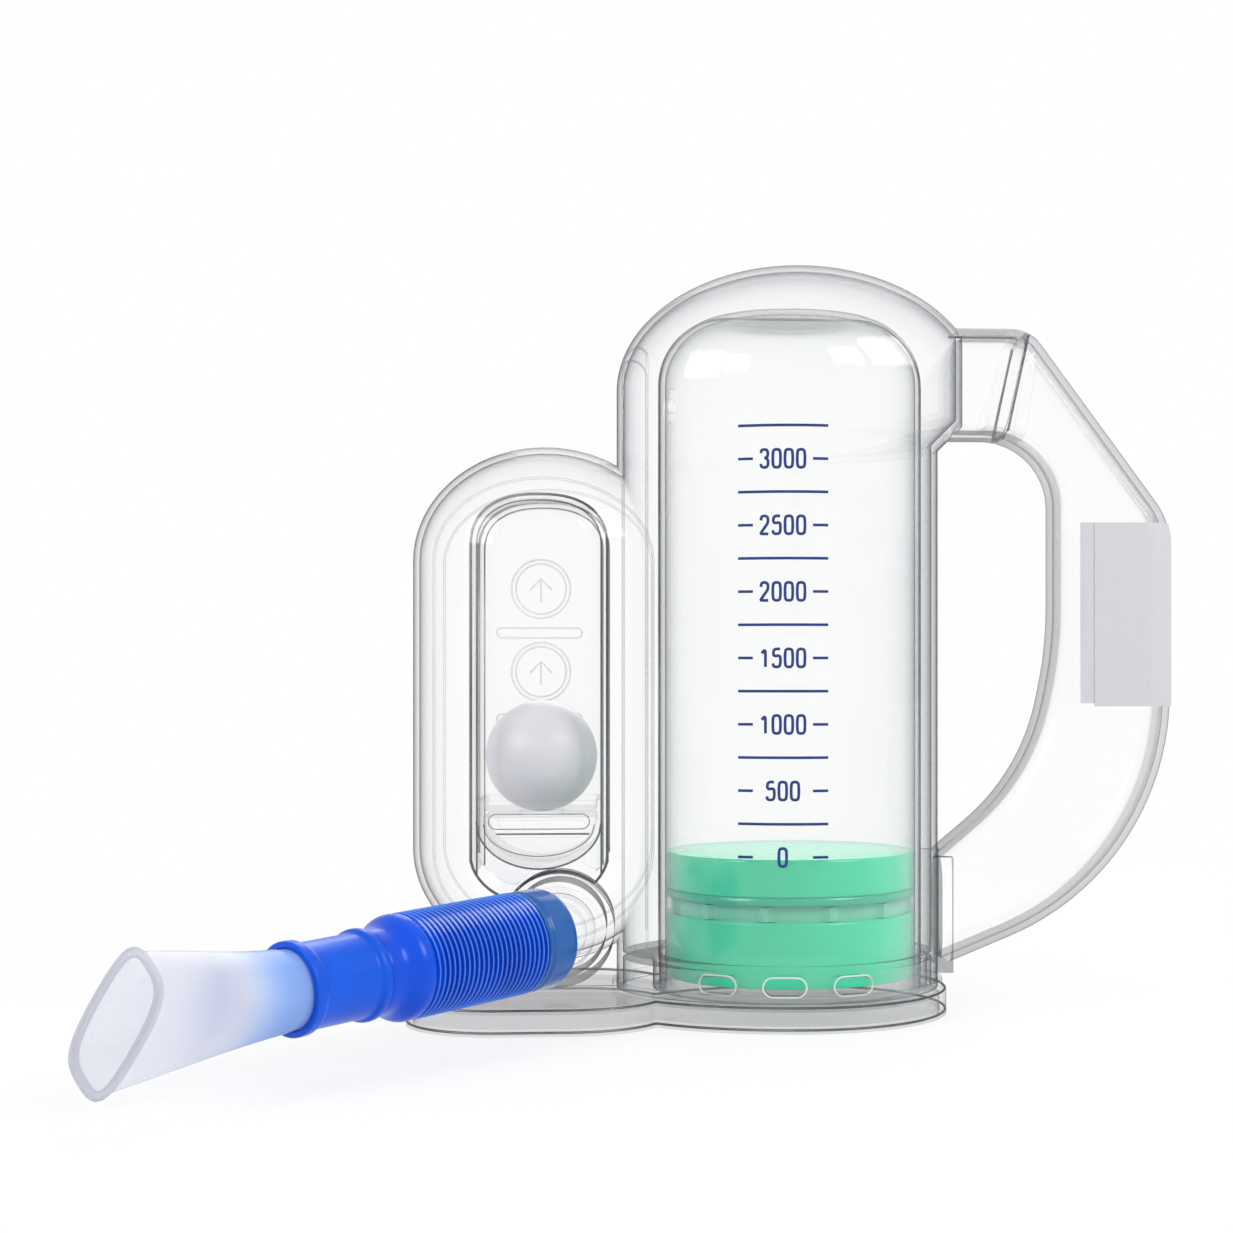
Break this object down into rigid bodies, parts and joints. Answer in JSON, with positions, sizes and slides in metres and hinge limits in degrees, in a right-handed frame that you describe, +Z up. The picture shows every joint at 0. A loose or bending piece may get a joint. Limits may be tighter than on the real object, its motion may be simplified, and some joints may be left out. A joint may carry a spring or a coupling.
{
  "type": "incentive spirometer",
  "caption": "Incentive spirometer: clear tower with a rising piston and scale, ball flow pod, hollow handle, stepped base, corrugated hose and mouthpiece.",
  "frame": {"origin": "on the axis of the piston cylinder, at the underside of the base", "axes": "+Z up along the cylinder, -Y towards the user, +X towards the handle"},
  "size_m": [0.3186, 0.2196, 0.242],
  "materials": {
    "clear_polystyrene": "clear polished moulding",
    "ball_plastic": "satin moulded",
    "green_plastic": "gloss moulded",
    "seal_rubber": "smooth moulded",
    "navy_ink": "screen print",
    "label_paper": "coated label paper",
    "cuff_vinyl": "translucent moulded",
    "blue_vinyl": "blow moulded, satin gloss",
    "blue_plastic": "gloss moulded",
    "frosted_plastic": "frosted moulded"
  },
  "bodies": {
    "housing": {"front_shell": "clear_polystyrene", "rear_shell": "clear_polystyrene", "piston_cylinder": "clear_polystyrene", "ball_chamber": "clear_polystyrene", "ball_seat": "clear_polystyrene", "base_tray": "clear_polystyrene", "base_plate": "clear_polystyrene", "piston_rest": "clear_polystyrene", "scale_marks": "navy_ink", "handle_front": "clear_polystyrene", "handle_rear": "clear_polystyrene", "handle_sleeve": "clear_polystyrene", "label": "label_paper", "hose_port": "clear_polystyrene"},
    "piston": {"piston_crown": "green_plastic", "piston_seal": "seal_rubber", "piston_skirt": "green_plastic"},
    "ball": {"ball": "ball_plastic"},
    "hose_base": {"hose_cuff": "cuff_vinyl", "hose": "blue_vinyl"},
    "hose_tip": {"hose_bell": "blue_vinyl"},
    "adapter": {"adapter": "blue_plastic"},
    "mouthpiece": {"mouthpiece": "frosted_plastic"}
  },
  "joints": [
    {"name": "piston_rise", "type": "slide", "parent": "housing", "child": "piston", "axis": [0, 0, 1], "range_m": [0, 0.138]},
    {"name": "ball_rise", "type": "slide", "parent": "housing", "child": "ball", "axis": [0, 0, 1], "range_m": [0, 0.06]},
    {"name": "hose_pull", "type": "slide", "parent": "housing", "child": "hose_base", "axis": [-0.6684, -0.7423, -0.048], "range_m": [0, 0.02]},
    {"name": "hose_bend", "type": "hinge", "parent": "hose_base", "child": "hose_tip", "pos_m": [-0.10026, -0.0695, 0.02822], "axis": [-0.7431, 0.6691, 0], "range_deg": [0, 40], "deforming": ["hose"]},
    {"name": "adapter_swivel", "type": "hinge", "parent": "hose_tip", "child": "adapter", "pos_m": [-0.12231, -0.09399, 0.02663], "axis": [-0.6684, -0.7423, -0.048], "continuous": true},
    {"name": "mouthpiece_pull", "type": "slide", "parent": "adapter", "child": "mouthpiece", "axis": [-0.6684, -0.7423, -0.048], "range_m": [0, 0.02]}
  ]
}
